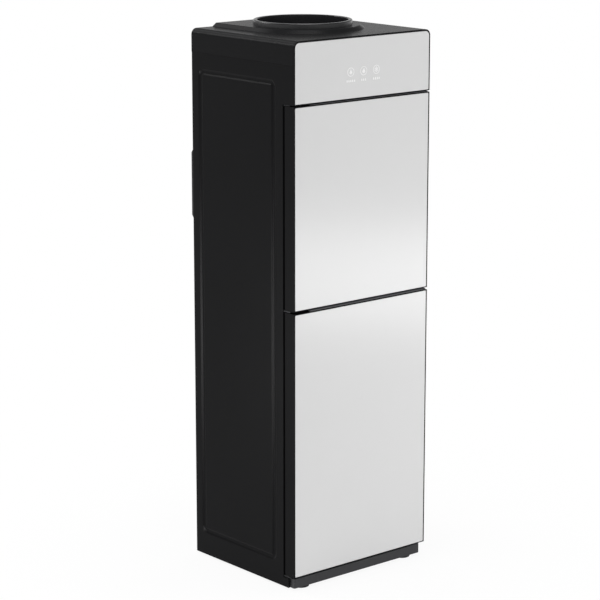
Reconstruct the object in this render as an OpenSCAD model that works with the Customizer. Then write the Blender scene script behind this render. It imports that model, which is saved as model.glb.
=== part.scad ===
// Upright water dispenser: a bottle seat on top, taps behind the upper glass door
// and a storage cabinet behind the lower one.
// Each piece is drawn with Y = 0 at the face of the glass and Y growing to the back.
// place() then moves it so that the origin is under the middle of the whole object.

/* [Body] */
// Width over the steel side panels
body_w = 310; // [300:1:330]
// Depth from the face of the glass to the back edges of the side panels
body_d = 278; // [274:1:300]
// Thickness of the steel side panels
panel_t = 1.2; // [1:0.1:1.6]
// Wall of the moulded liners
liner_t = 2; // [1.6:0.1:2.6]
// Wall of the moulded top cover and fascia
cover_t = 2.5; // [2:0.1:3]

/* [Side panel bead] */
// Width of the pressed bead
bead_w = 12; // [8:0.5:16]
// Depth of the pressed bead
bead_d = 2; // [1:0.1:3]
// Distance of the bead from the front of the glass
bead_front = 48.5; // [46:0.5:70]
// Distance of the bead from the back edge of the panel
bead_back = 18; // [14:0.5:30]
// Height of the bead's lower edge
bead_low = 44.5; // [34:0.5:84]
// Distance of the bead from the top edge of the panel
bead_top = 26.5; // [20:0.5:60]
// Radius of the bead's outer corners
bead_r = 14; // [13:0.5:20]

/* [Base] */
// Height of the rubber feet that shows under the plinth
foot_h = 4; // [3:0.5:6]
// Radius of the rubber feet
foot_r = 15; // [12:0.5:18]
// Distance of the feet from the sides
foot_in = 34; // [24:1:44]
// Setback of the front feet behind the face of the glass
foot_set = 8.5; // [7:0.5:14]
// How far the plinth reaches below the base pan
skirt_h = 5; // [3:0.5:6]
// Height of the base pan
pan_h = 11.1; // [8:0.1:16]
// How far the pan's lip stands out behind
pan_lip = 2; // [1:0.5:4]
// Setback of the plinth behind the face of the glass
plinth_set = 6.5; // [5:0.5:12]
// Radius of the plinth's front corners
plinth_r = 3; // [2:0.5:6]
// Setback of the side panel's toe beside the plinth
toe_set = 16; // [13:0.5:20]
// Width of the flange that the side panel turns in at its toe
toe_flange = 3.6; // [2:0.1:4.5]

/* [Doors] */
// Thickness of a door
door_t = 27.6; // [26:0.2:32]
// Gap from the back of a door to the front of the cabinet
door_gap = 2.2; // [2:0.1:3]
// Height of the lower door
lower_door_h = 472.8; // [450:0.2:490]
// Height of the upper door
upper_door_h = 350.2; // [345:0.2:370]
// Gap between the base pan and the lower door
door_lift = 5.6; // [5:0.1:8]
// Gap between the two doors
door_split = 4.2; // [3.6:0.1:6]
// Gap between the upper door and the fascia
fascia_gap = 2.5; // [2.5:0.1:4]
// Thickness of the glass
glass_t = 3; // [2.5:0.1:4]
// Width of the frame left beside the glass
glass_side = 2.2; // [1.6:0.1:4]
// Width of the frame left above and below the glass
glass_end = 1.5; // [1:0.1:3]
// Chamfer at the back of the free edge, where fingers pull
grip = 8; // [5:0.5:10]
// Chamfer at the back of the hinged edge, which clears the cabinet
hinge_cut = 3; // [3:0.1:4]
// Wall of the door moulding
door_wall = 12; // [10:0.5:14]

/* [Hinges] */
// Distance of the hinge axis from the side
axis_in = 7; // [6:0.1:7.4]
// Distance of the hinge axis from the back of the door
axis_back = 7.6; // [7:0.1:8]
// Radius of the hinge pins
pin_r = 3; // [2.5:0.1:3.4]
// Running clearance of a pin in its bore
pin_fit = 0.05; // [0.02:0.01:0.1]
// How deep a pin reaches into the door
pin_deep = 13; // [10:0.5:16]
// Thickness of the middle and bottom hinge plates
plate_t = 2; // [1.5:0.1:2.4]
// Thickness of the top hinge plate
top_plate_t = 1.5; // [1.2:0.1:1.7]

/* [Fascia and top cover] */
// Height of the fascia up to the deck of the top cover
fascia_h = 107.1; // [95:0.1:120]
// Depth of the fascia moulding behind the glass
fascia_d = 37; // [34:0.5:38]
// Radius of the upper corners
corner_r = 11; // [8:0.5:16]
// Height of the top cover's sides
cover_side_h = 41; // [30:0.5:60]
// Rise of the raised deck around the bottle collar
raise_h = 6; // [4:0.5:8]
// Half width of the raised deck at its top, also its radius in front of the collar
deck_r = 100; // [96:0.5:103]
// Half width of the raised deck at its foot
deck_foot_r = 108; // [104:0.5:114]
// Diameter of the lit spots on the fascia
lamp_d = 5; // [3:0.5:6]
// Spacing of the lit spots
lamp_pitch = 29.2; // [24:0.2:34]
// Height of the lit spots above the fascia's lower edge
lamp_z = 46.6; // [40:0.2:60]

/* [Bottle seat] */
// Outer radius of the bottle collar
collar_r = 87; // [85:0.5:90]
// Radius of its opening
collar_bore_r = 80; // [78:0.5:81]
// Height of the collar above the raised deck
collar_h = 9; // [6:0.5:14]
// Clearance between the seat and the top cover
seat_fit = 0.5; // [0.3:0.1:0.8]
// Depth of the straight wall inside the collar
bore_deep = 26; // [20:1:30]
// Radius of the well that takes the bottle neck
well_r = 32; // [30:0.5:36]
// Height of the funnel between the collar's wall and the well
funnel_h = 22; // [16:1:26]
// Depth of the well that takes the bottle neck
well_h = 30; // [24:1:34]
// Radius of the water probe
probe_r = 9; // [7:0.5:11]
// Radius of the holes that let water through
water_hole_r = 3; // [2:0.5:4]

/* [Tap bay] */
// Width of the tap bay
bay_w = 240; // [232:1:244]
// Height of the tap bay
bay_h = 254; // [246:1:262]
// Height of the sill under the bay, above the upper door's lower edge
bay_sill = 33.8; // [32:0.2:40]
// Distance of each tap from the middle
tap_x = 65; // [64:0.5:72]
// Height of the taps' shanks above the bay's floor
tap_up = 210; // [204:1:211]
// Distance from the bay's back to the spout
tap_reach = 32; // [28:0.5:38]
// Radius of a tap's body
tap_r = 12; // [11:0.5:13]
// Length of a tap's spout below its body
spout_len = 20; // [14:1:26]
// Reach of a lever in front of its pivot
lever_len = 38; // [32:1:42]
// Height of the drip tray
tray_h = 22; // [16:1:26]
// Gap around the drip tray
tray_gap = 6; // [3:0.5:12]

/* [Lower cabinet] */
// Height of the cabinet's sill above the lower door's lower edge
low_sill = 30.8; // [24:0.2:40]
// Height left above the cabinet's opening
low_head = 32; // [26:0.5:40]
// Height of the wire shelf above the cabinet's floor
shelf_up = 200; // [150:5:260]
// Radius of the shelf's rim wire
rim_wire = 2; // [1.6:0.1:2.6]

/* [Water system] */
// Outer radius of the cold tank
cold_r = 67; // [64:0.5:69]
// Thickness of the tanks' steel
tank_t = 1.2; // [1:0.1:1.6]
// Outer radius of the cold tank's insulation
cold_ins_r = 86; // [82:0.5:88]
// Gap from the cold tank's insulation to the back panel
cold_gap = 10; // [6:0.5:14]
// Thickness of the insulation under the cold tank
ins_floor = 10; // [8:0.5:14]
// Radius of the evaporator tube
evap_r = 2.2; // [1.8:0.1:2.6]
// Outer radius of the hot tank
hot_r = 36; // [33:0.5:38]
// Height of the hot tank
hot_h = 104; // [90:1:110]
// Outer radius of the hot tank's insulation
hot_ins_r = 50; // [47:0.5:51]
// Gap around the hot tank's insulation
hot_gap = 6.5; // [5:0.5:10]
// Outer radius of the silicone tubes
hose_r = 4.5; // [3.5:0.1:5]

/* [Cooling system] */
// Radius of the compressor's shell
comp_r = 54; // [48:0.5:56]
// Height of the compressor's shell
comp_h = 140; // [120:1:160]
// Gap around the compressor's shell
comp_gap = 4; // [3:0.5:6]
// Height of the compressor's rubber mounts
mount_h = 11; // [8:0.5:14]
// Radius of the condenser tube
cond_r = 2.4; // [2:0.1:3]
// Runs of the condenser tube
cond_runs = 12; // [8:2:12]
// Pitch of the runs
cond_pitch = 44; // [40:1:44]
// Length of a straight run
cond_run = 186; // [160:2:200]
// Height of the lowest run
cond_low = 104; // [100:1:108]
// Radius of the condenser's wires
wire_r = 0.8; // [0.7:0.1:1.2]

/* [Back] */
// How far the back panel lies inside the side panels' back edges
back_recess = 22; // [20:0.5:24]
// Thickness of the back panel
back_t = 2; // [1.5:0.1:2.5]
// How far the service cover stands out behind
cover_proud = 8.2; // [7:0.1:12]
// Height of the service cover's lower edge
cover_low = 619.5; // [610:0.5:629]
// Height of the service cover
cover_h = 134; // [120:1:140]
// Height of its sloping ends
cover_slope = 11; // [8:0.5:14]
// Width of a rocker switch
rocker_w = 18; // [14:0.5:22]
// Height of a rocker switch
rocker_h = 26; // [22:0.5:28]
// Angle at which a rocker rests
rocker_tilt = 8; // [5:0.5:10]
// Length of a drain spout behind the back panel
drain_len = 12; // [8:0.5:12]

/* [Hidden] */
$fn = 64;

// Faces of the cabinet
half_w = body_w / 2;
inner_x = half_w - panel_t;
bead_x = inner_x - bead_d;
front_y = door_t + door_gap;
depth_all = body_d + cover_proud;
back_y = body_d - back_recess;
back_face = back_y + back_t;

// Levels, from the floor up
pan_low = foot_h + skirt_h;
pan_top = pan_low + pan_h;
panel_low = foot_h + 0.5;
plinth_top = pan_top + 1.4;
lower_z0 = pan_top + door_lift;
lower_z1 = lower_z0 + lower_door_h;
upper_z0 = lower_z1 + door_split;
upper_z1 = upper_z0 + upper_door_h;
split_z = (lower_z1 + upper_z0) / 2;
fascia_z0 = upper_z1 + fascia_gap;
top_z = fascia_z0 + fascia_h;
panel_top = top_z - cover_side_h;
raise_z = top_z + raise_h;
rim_z = raise_z + collar_h;

// Bays behind the doors
bay_z0 = upper_z0 + bay_sill;
bay_z1 = bay_z0 + bay_h;
bay_back = back_y - 2 * (hot_ins_r + hot_gap) - liner_t;
low_z0 = lower_z0 + low_sill;
low_z1 = lower_z1 - low_head;
low_back = back_y - 2 * (comp_r + comp_gap) - liner_t;
deck_z0 = bay_z1 + liner_t;
deck_z1 = deck_z0 + liner_t;

// Hinge axis
axis_x = axis_in - half_w;
axis_y = door_t - axis_back;
bore_len = pin_deep + 1;

// Bottle seat, from the rim down
collar_y = back_y - cold_gap - cold_ins_r;
seat_neck_r = collar_bore_r + cover_t;
cover_hole_r = seat_neck_r + seat_fit;
seat_ring_r = collar_r + 5;
bore_z0 = rim_z - bore_deep;
funnel_z0 = bore_z0 - funnel_h;
well_z0 = funnel_z0 - well_h;
tank_top = bore_z0 - 13;

// Taps
tap_z = bay_z0 + tap_up;
tap_y = bay_back - tap_reach;
tap_top = tap_z + 16;
pivot_z = tap_top + 6;
shank_end = bay_back + liner_t + 18;

// Tanks
cold_z0 = deck_z1 + ins_floor;
evap_path_r = cold_r + evap_r + 0.2;
hot_y = back_y - hot_gap - hot_ins_r;
hot_z1 = deck_z0 - 16;
hot_z0 = hot_z1 - hot_h;
hot_ins_z0 = hot_z0 - 13;
band_t = 3;
hot_hollow_r = hot_r + band_t + 0.5;
cold_drain_x = 12 - cold_r;
cold_drain_y = collar_y + 15;
outer_drain_x = 45 - half_w;
hot_drain_x = outer_drain_x + 30;
drain_z = pan_low + 37.5;

// Cooling
comp_y = back_y - comp_gap - comp_r;
comp_z0 = pan_top + mount_h + 3;
cond_y = back_face + 8;
cond_bend = cond_pitch / 2;
cond_high = cond_low + (cond_runs - 1) * cond_pitch;
feed_x = 20;
feed_z = cond_low - 12;

// Switches
switch_z = cover_low + cover_h / 2;
switch_x = half_w - 70;
switch_pitch = 30;
pocket_d = 8;
pocket_w = 2 * switch_pitch + 6;
pocket_h = rocker_h + 10;
rocker_y = depth_all - pocket_d - 4.2;
rocker_fit = 0.7;

module place() { translate([0, -depth_all / 2, 0]) children(); }

module block(a, b) { translate(a) cube(b - a); }

module wide(half, y0, y1, z0, z1) { block([-half, y0, z0], [half, y1, z1]); }

module rod_x(r, y, z, x0, x1) {
    translate([x0, y, z]) rotate([0, 90, 0]) cylinder(r = r, h = x1 - x0);
}

module rod_y(r, x, z, y0, y1) {
    translate([x, y1, z]) rotate([90, 0, 0]) cylinder(r = r, h = y1 - y0);
}

module rod_z(r, x, y, z0, z1) {
    translate([x, y, z0]) cylinder(r = r, h = z1 - z0);
}

// Extrudes an outline drawn in X and Z from y0 to y1
module along_y(y0, y1) {
    translate([0, y1, 0]) rotate([90, 0, 0]) linear_extrude(y1 - y0) children();
}

// Extrudes an outline drawn in Y and Z from x0 to x1
module along_x(x0, x1) {
    translate([x0, 0, 0]) rotate([90, 0, 90]) linear_extrude(x1 - x0) children();
}

// Rectangle with lower corners of radius rb and upper corners of radius rt
module card(x0, x1, z0, z1, rb, rt) {
    translate([x0, z0 + rb]) square([x1 - x0, z1 - z0 - rb - rt]);
    translate([x0 + rb, z0]) square([x1 - x0 - 2 * rb, z1 - z0 - rt]);
    translate([x0 + rt, z0 + rb]) square([x1 - x0 - 2 * rt, z1 - z0 - rb]);
    for (x = [x0 + rb, x1 - rb]) translate([x, z0 + rb]) circle(rb);
    for (x = [x0 + rt, x1 - rt]) translate([x, z1 - rt]) circle(rt);
}

// Front outline of the fascia and top cover, drawn in by inset
module crown(inset, z_low) {
    card(inset - half_w, half_w - inset, z_low, top_z - inset, 0.5, corner_r - inset);
}

// Elbows are a little fuller than the hose or wire that they join
elbow = 1.04;

// A hose of straight stretches with round elbows
module hose(points, r) {
    for (i = [1:len(points) - 1]) {
        run = points[i] - points[i - 1];
        flat = norm([run.x, run.y]);
        translate(points[i - 1])
            rotate([0, atan2(flat, run.z), atan2(run.y, run.x)])
            cylinder(r = r, h = norm(run));
        if (i < len(points) - 1) translate(points[i]) sphere(r * elbow);
    }
}

// Base

module base_pan() {
    place() color("#2b2b2d") difference() {
        union() {
            wide(inner_x, front_y, body_d, pan_low, pan_top);
            wide(inner_x - 6, body_d - 1, body_d + pan_lip, pan_low, pan_top);
        }
        wide(inner_x - 3, front_y + 3, body_d - 3, pan_low - 1, pan_top - 2);
    }
    place() color("#2b2b2d") for (s = [-1, 1], y = [front_foot_y, rear_foot_y])
        rod_z(foot_r - 4, s * foot_x, y, pan_low, pan_top - 2);
}

foot_x = half_w - foot_in;
front_foot_y = front_y + foot_r + 1;
rear_foot_y = body_d - foot_r - 6;

// Round pads under the pan; each front one also has a low tongue under the plinth
module feet() {
    tongue_y = foot_set + foot_r;
    place() color("#3a3a3c") for (s = [-1, 1]) {
        for (y = [front_foot_y, rear_foot_y]) rod_z(foot_r, s * foot_x, y, 0, pan_low);
        rod_z(foot_r, s * foot_x, tongue_y, 0, foot_h);
        block([s * foot_x - foot_r, tongue_y, 0], [s * foot_x + foot_r, front_foot_y, foot_h]);
    }
}

module plinth() {
    half = inner_x - toe_flange - 0.6;
    place() color("#3c3c3f") difference() {
        translate([0, 0, foot_h]) linear_extrude(plinth_top - foot_h) union() {
            translate([-half, plinth_set + plinth_r])
                square([2 * half, front_y - plinth_set - plinth_r]);
            translate([-half + plinth_r, plinth_set])
                square([2 * (half - plinth_r), front_y - plinth_set]);
            for (s = [-1, 1]) translate([s * (half - plinth_r), plinth_set + plinth_r])
                circle(plinth_r);
        }
        wide(half - 3, plinth_set + 3, front_y - 3, foot_h - 1, plinth_top - 2);
    }
}

// Shell

// Ring of the pressed bead, grown on both sides by extra
module bead_ring(extra) {
    y0 = bead_front;
    y1 = body_d - bead_back;
    z1 = panel_top - bead_top;
    difference() {
        card(y0 - extra, y1 + extra, bead_low - extra, z1 + extra, bead_r, bead_r);
        card(y0 + bead_w + extra, y1 - bead_w - extra, bead_low + bead_w + extra,
            z1 - bead_w - extra, bead_r - bead_w + 1, bead_r - bead_w + 1);
    }
}

module side_panel() {
    difference() {
        union() {
            along_x(inner_x, half_w) polygon([
                [toe_set, panel_low], [body_d, panel_low], [body_d, panel_top],
                [glass_t, panel_top],
                [glass_t, fascia_z0], [front_y, fascia_z0], [front_y, plinth_top],
                [toe_set, plinth_top]
            ]);
            along_x(bead_x, inner_x + 0.1) bead_ring(panel_t);
            block([inner_x - 10, body_d - panel_t, pan_top], [half_w, body_d, panel_top]);
            block([inner_x - toe_flange, toe_set, panel_low],
                [half_w, toe_set + panel_t, plinth_top]);
        }
        along_x(half_w - bead_d, half_w + 1) bead_ring(0);
    }
}

module right_side_panel() { place() color("#232325") side_panel(); }

module left_side_panel() { place() color("#232325") mirror([1, 0, 0]) side_panel(); }

// Raised deck, lowered by drop: round in front of the collar and straight back to y1
module raised_deck(drop, y1) {
    translate([0, 0, -drop]) {
        translate([0, collar_y, top_z])
            cylinder(r1 = deck_foot_r, r2 = deck_r, h = raise_h);
        along_y(collar_y, y1) polygon([
            [-deck_foot_r, top_z], [deck_foot_r, top_z], [deck_r, raise_z], [-deck_r, raise_z]
        ]);
    }
}

module top_cover() {
    inside = top_z - cover_t;
    place() color("#3f3f42") difference() {
        union() {
            difference() {
                along_y(glass_t, body_d) crown(0, panel_top);
                along_y(glass_t - 1, body_d - cover_t) crown(cover_t, panel_top - 5);
            }
            raised_deck(0, body_d);
        }
        difference() {
            raised_deck(cover_t, body_d - cover_t);
            rod_z(seat_ring_r, 0, collar_y, inside - 1, raise_z);
        }
        translate([0, collar_y, 0]) cylinder(r = cover_hole_r, h = raise_z + 1);
    }
}

module back_panel() {
    slot_w = 52;
    slot_h = 4;
    place() color("#2a2a2c") {
        difference() {
            along_y(back_y, back_face)
                card(-bead_x, bead_x, pan_top, top_z - cover_t, 1, corner_r);
            for (x = [-slot_w - 8, 0, slot_w + 8], i = [0:6])
                wide_slot(x, slot_w, cover_low + cover_h + 40 + i * 11, slot_h);
            rod_y(cond_r + 0.8, feed_x, feed_z, back_y - 1, back_face + 1);
            for (x = [hot_drain_x, outer_drain_x])
                rod_y(hose_r + 0.1, x, drain_z, back_y - 1, back_face + 1);
            rod_y(gland_r + 0.1, gland_x, gland_z, back_y - 1, back_face + 1);
        }
        for (s = [-1, 1], z = [cond_low, cond_high])
            block([s * (cond_run / 2 - 3) - 4, back_face, z - 5],
                [s * (cond_run / 2 - 3) + 4, cond_y - cond_r, z + 5]);
    }
}

module wide_slot(x, w, z, h) {
    block([x - w / 2, back_y - 1, z - h / 2], [x + w / 2, back_face + 1, z + h / 2]);
}

gland_r = 8;
cord_bore_r = 3.6;
gland_x = half_w - 43;
gland_z = drain_z + 6;

module rear_screws() {
    cover_top = cover_low + cover_h;
    zs = [cond_low - 22, cover_low / 2, cover_low - 55, cover_top + 41, panel_top - 37];
    place() color("#8d8f92") for (s = [-1, 1], z = zs)
        rod_y(4, s * (bead_x - 9), z, back_face, back_face + 2.4);
}

// Fascia

module fascia_frame() {
    block_x = half_w - cover_t;
    post_x = 1.5 * lamp_pitch;
    z1 = top_z - cover_t;
    lamps_z = fascia_z0 + lamp_z;
    place() color("#1b1b1d") {
        difference() {
            union() {
                along_y(0, glass_t) crown(0, fascia_z0);
                along_y(glass_t, glass_t + fascia_d) crown(cover_t, fascia_z0);
            }
            along_y(-1, glass_t) fascia_glass_outline();
            along_y(glass_t + cover_t, glass_t + fascia_d + 1) card(
                cover_t - block_x, block_x - cover_t, fascia_z0 + cover_t, z1 - cover_t, 1, 6);
            for (x = lamp_xs())
                rod_y(lamp_d / 2 + 0.1, x, lamps_z, glass_t - 1, glass_t + cover_t + 1);
        }
        for (s = [-1, 1]) rod_y(3, s * post_x, lamps_z, glass_t + cover_t - 0.5, board_y);
    }
}

board_y = glass_t + 17;

function lamp_xs() = [-lamp_pitch, 0, lamp_pitch];

module fascia_glass_outline() {
    card(glass_side - half_w, half_w - glass_side, fascia_z0 + glass_end, top_z - 3,
        2, corner_r - glass_side);
}

module fascia_glass() {
    place() color("#d5d5d6") along_y(0, glass_t) fascia_glass_outline();
}

module light_pipes() {
    place() color("#f2f4f5") for (x = lamp_xs())
        rod_y(lamp_d / 2, x, fascia_z0 + lamp_z, glass_t, board_y - 3);
}

module light_board() {
    z = fascia_z0 + lamp_z;
    half = 1.5 * lamp_pitch + 5;
    place() color("#2f6b3c") {
        wide(half, board_y, board_y + 1.6, z - 11, z + 11);
        for (x = lamp_xs()) rod_y(2.4, x, z, board_y - 3, board_y);
        block([half - 24, board_y + 1.6, z - 6], [half - 6, board_y + 9, z + 6]);
    }
}

// Doors

// Plan of a door, drawn in by inset
module door_plan() {
    polygon([
        [-half_w, 0], [half_w, 0], [half_w, door_t - grip], [half_w - grip, door_t],
        [hinge_cut - half_w, door_t], [-half_w, door_t - hinge_cut]
    ]);
}

module door_glass_outline(z0, z1) {
    card(glass_side - half_w, half_w - glass_side, z0 + glass_end, z1 - glass_end, 2, 2);
}

back_x = half_w - grip - 4;

module door_back_outline(z0, z1, grow) {
    card(-back_x - grow, back_x + grow, z0 + door_wall - 4 - grow,
        z1 - door_wall + 4 + grow, 2, 2);
}

module door_frame(z0, z1) {
    difference() {
        translate([0, 0, z0]) linear_extrude(z1 - z0) door_plan();
        along_y(-1, glass_t) door_glass_outline(z0, z1);
        wide(half_w - door_wall - 6, glass_t + 2.5, door_t - 1, z0 + bore_len + 2,
            z1 - bore_len - 2);
        along_y(door_t - liner_t, door_t + 1) door_back_outline(z0, z1, 0);
        rod_z(pin_r + pin_fit, axis_x, axis_y, z0 - 1, z0 + bore_len);
        rod_z(pin_r + pin_fit, axis_x, axis_y, z1 - bore_len, z1 + 1);
    }
}

module door_back(z0, z1) {
    along_y(door_t - liner_t, door_t) door_back_outline(z0, z1, 0);
}

module door_seal(z0, z1) {
    x = back_x - 5;
    z_in = door_wall;
    along_y(door_t, front_y - 0.3) difference() {
        card(-x, x, z0 + z_in, z1 - z_in, 4, 4);
        card(8 - x, x - 8, z0 + z_in + 8, z1 - z_in - 8, 3, 3);
    }
}

module upper_door_frame() { place() color("#1a1a1c") door_frame(upper_z0, upper_z1); }

module lower_door_frame() { place() color("#1a1a1c") door_frame(lower_z0, lower_z1); }

module upper_door_glass() {
    place() color("#dcdcdd") along_y(0, glass_t) door_glass_outline(upper_z0, upper_z1);
}

module lower_door_glass() {
    place() color("#dedede") along_y(0, glass_t) door_glass_outline(lower_z0, lower_z1);
}

module upper_door_back() { place() color("#d8dadb") door_back(upper_z0, upper_z1); }

module lower_door_back() { place() color("#d8dadb") door_back(lower_z0, lower_z1); }

module upper_door_seal() { place() color("#b9bcbe") door_seal(upper_z0, upper_z1); }

module lower_door_seal() { place() color("#b9bcbe") door_seal(lower_z0, lower_z1); }

// Hinges

top_plate_z = upper_z1 + (fascia_gap - top_plate_t) / 2;
middle_plate_z = split_z - plate_t / 2;
bottom_plate_z = lower_z0 - 1 - plate_t;

module hinge_plate(z, t) {
    block([0.2 - inner_x, axis_y - 7, z], [axis_x + 8, front_y + 14, z + t]);
}

module top_hinge() {
    place() color("#9a9da0") {
        hinge_plate(top_plate_z, top_plate_t);
        rod_z(pin_r, axis_x, axis_y, upper_z1 - pin_deep, top_plate_z);
    }
}

module middle_hinge() {
    place() color("#9a9da0") {
        hinge_plate(middle_plate_z, plate_t);
        rod_z(pin_r, axis_x, axis_y, lower_z1 - pin_deep, upper_z0 + pin_deep);
    }
}

module bottom_hinge() {
    place() color("#9a9da0") {
        hinge_plate(bottom_plate_z, plate_t);
        rod_z(pin_r, axis_x, axis_y, bottom_plate_z, lower_z0 + pin_deep);
    }
}

module hinge_plates() {
    hinge_plate(top_plate_z, top_plate_t);
    hinge_plate(middle_plate_z, plate_t);
    hinge_plate(bottom_plate_z, plate_t);
}

module door_magnets() {
    x0 = back_x - 1;
    place() color("#5a5c5f")
        for (z = [(lower_z0 + lower_z1) / 2, (upper_z0 + upper_z1) / 2])
            block([x0, front_y - 1.5, z - 20], [x0 + 8, front_y, z + 20]);
}

// Tap bay

module tap_bay_liner() {
    half = bay_w / 2;
    place() color("#cfd2d4") difference() {
        union() {
            wide(inner_x, front_y, front_y + liner_t, split_z, fascia_z0);
            wide(half + liner_t, front_y, bay_back + liner_t, bay_z0 - liner_t, deck_z0);
        }
        wide(half, front_y - 1, bay_back, bay_z0, bay_z1);
        hinge_plates();
        for (s = [-1, 1])
            rod_y(8.1, s * tap_x, tap_z, bay_back - 1, bay_back + liner_t + 1);
    }
}

module tap_body(x) {
    difference() {
        union() {
            rod_y(8, x, tap_z, tap_y, shank_end);
            rod_y(13, x, tap_z, bay_back - 3, bay_back);
            rod_y(12, x, tap_z, bay_back + liner_t, bay_back + liner_t + 6);
            rod_z(tap_r, x, tap_y, tap_z - 24, tap_top);
            rod_z(7, x, tap_y, tap_z - 24 - spout_len, tap_z - 24);
            block([x - 3, tap_y - 5, tap_top - 1], [x + 3, tap_y + 5, pivot_z]);
            rod_x(5, tap_y, pivot_z, x - 3, x + 3);
        }
        rod_z(4.5, x, tap_y, tap_z - 25 - spout_len, tap_z - 12);
        rod_x(tap_pin_r, tap_y, pivot_z, x - 4, x + 4);
    }
}

tap_pin_r = 1.5;

module tap_lever(x) {
    cheek = 3.3;
    half = 8;
    under = pivot_z + 5.4;
    front = tap_y - lever_len;
    difference() {
        union() {
            along_x(x - half, x + half) polygon([
                [front, under + 4], [front + 3, under + 1.5], [tap_y - 12, under],
                [tap_y + 6, under], [tap_y + 6, under + 5], [front + 1, under + 6]
            ]);
            for (s = [-1, 1]) translate([x + s * (cheek + 2) - 2, 0, 0]) {
                block([0, tap_y - 5, pivot_z], [4, tap_y + 5, under + 1]);
                rod_x(5, tap_y, pivot_z, 0, 4);
            }
        }
        rod_x(tap_pin_r + pin_fit, tap_y, pivot_z, x - half - 1, x + half + 1);
        if (x < 0) block([x - lock_half - 0.3, lock_y - 8.3, under + 2],
            [x + lock_half + 0.3, lock_y + 5.3, under + 8]);
    }
}

lock_half = 4.5;
lock_y = tap_y - 14;

module hot_tap_lock() {
    under = pivot_z + 5.4;
    place() color("#e8e9ea")
        block([-tap_x - lock_half, lock_y - 5, under + 2.3],
            [-tap_x + lock_half, lock_y + 5, under + 8]);
}

module hot_tap_body() { place() color("#e2e4e5") tap_body(-tap_x); }

module cold_tap_body() { place() color("#e2e4e5") tap_body(tap_x); }

module hot_tap_lever() { place() color("#c0292d") tap_lever(-tap_x); }

module cold_tap_lever() { place() color("#2458b3") tap_lever(tap_x); }

module tap_pins() {
    place() color("#b8babc") for (s = [-1, 1])
        rod_x(tap_pin_r, tap_y, pivot_z, s * tap_x - 7.4, s * tap_x + 7.4);
}

tray_half = bay_w / 2 - tray_gap;
tray_y0 = front_y + 5;
tray_y1 = bay_back - tray_gap;

module drip_tray() {
    place() color("#2e2f31") difference() {
        wide(tray_half, tray_y0, tray_y1, bay_z0, bay_z0 + tray_h);
        wide(tray_half - 4, tray_y0 + 4, tray_y1 - 4, bay_z0 + 2, bay_z0 + tray_h + 1);
        wide(tray_half - 2, tray_y0 + 2, tray_y1 - 2, bay_z0 + tray_h - 4,
            bay_z0 + tray_h + 1);
    }
}

module drip_grille() {
    half = tray_half - 2.3;
    y0 = tray_y0 + 2.3;
    y1 = tray_y1 - 2.3;
    slots = 17;
    pitch = 2 * (half - 8) / slots;
    place() color("#c4c6c8") difference() {
        wide(half, y0, y1, bay_z0 + tray_h - 4, bay_z0 + tray_h - 1);
        for (i = [0:slots - 1])
            block([8 - half + (i + 0.25) * pitch, y0 + 8, bay_z0],
                [8 - half + (i + 0.75) * pitch, y1 - 8, bay_z0 + tray_h]);
    }
}

// Lower cabinet

module lower_liner() {
    half = bay_w / 2;
    shelf_z = low_z0 + shelf_up;
    place() color("#cfd2d4") {
        difference() {
            union() {
                wide(inner_x, front_y, front_y + liner_t, pan_top, split_z);
                wide(half + liner_t, front_y, low_back + liner_t, low_z0 - liner_t,
                    low_z1 + liner_t);
            }
            wide(half, front_y - 1, low_back, low_z0, low_z1);
            hinge_plates();
        }
        for (s = [-1, 1])
            block([s * (half - 3) - 3, front_y + 6, shelf_z - 3],
                [s * (half - 3) + 3, low_back, shelf_z]);
    }
}

module wire_shelf() {
    half = bay_w / 2 - 3;
    y0 = front_y + 8;
    y1 = low_back - 4;
    z = low_z0 + shelf_up + rim_wire * elbow + 0.1;
    wires = 15;
    place() color("#dadcdd") {
        hose([[-half, y0, z], [half, y0, z], [half, y1, z], [-half, y1, z], [-half, y0, z]],
            rim_wire);
        translate([-half, y0, z]) sphere(rim_wire * elbow);
        for (i = [1:wires])
            rod_y(rim_wire * 0.6, -half + i * 2 * half / (wires + 1), z, y0, y1);
    }
}

// Water system

module tank_deck() {
    place() color("#a9acae") difference() {
        wide(bead_x, front_y + 18, back_y, deck_z0, deck_z1);
        for (p = hose_drops()) rod_z(hose_r + 0.6, p.x, p.y, deck_z0 - 1, deck_z1 + 1);
    }
}

// Places where hoses leave the floor of the cold tank
function hose_drops() = [[-cold_drain_x, cold_drain_y], [cold_drain_x, cold_drain_y], [0, hot_y]];

module cold_tank() {
    place() color("#c9cbcd") difference() {
        rod_z(cold_r, 0, collar_y, cold_z0, tank_top);
        rod_z(cold_r - tank_t, 0, collar_y, cold_z0 + tank_t, tank_top + 1);
    }
}

module baffle_plate() {
    z = (cold_z0 + well_z0) / 2;
    place() color("#eceded") difference() {
        rod_z(cold_r - tank_t - 0.1, 0, collar_y, z, z + 2);
        rod_z(12, 0, collar_y, z - 1, z + 3);
    }
}

module evaporator_coil() {
    turns = 8;
    pitch = (tank_top - cold_z0 - 40) / turns;
    place() color("#b87333") for (i = [0:turns])
        translate([0, collar_y, cold_z0 + 16 + i * pitch])
            rotate_extrude() translate([evap_path_r, 0]) circle(evap_r, $fn = 24);
}

module cold_insulation() {
    place() color("#f1f1ee") difference() {
        rod_z(cold_ins_r, 0, collar_y, deck_z1, tank_top);
        rod_z(evap_path_r + evap_r + 0.3, 0, collar_y, cold_z0, tank_top + 1);
        for (p = hose_drops()) rod_z(hose_r + 0.6, p.x, p.y, deck_z1 - 1, cold_z0 + 1);
    }
}

module hot_tank() {
    place() color("#c9cbcd") difference() {
        rod_z(hot_r, 0, hot_y, hot_z0, hot_z1);
        rod_z(hot_r - tank_t, 0, hot_y, hot_z0 + tank_t, hot_z1 - tank_t);
    }
}

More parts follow.
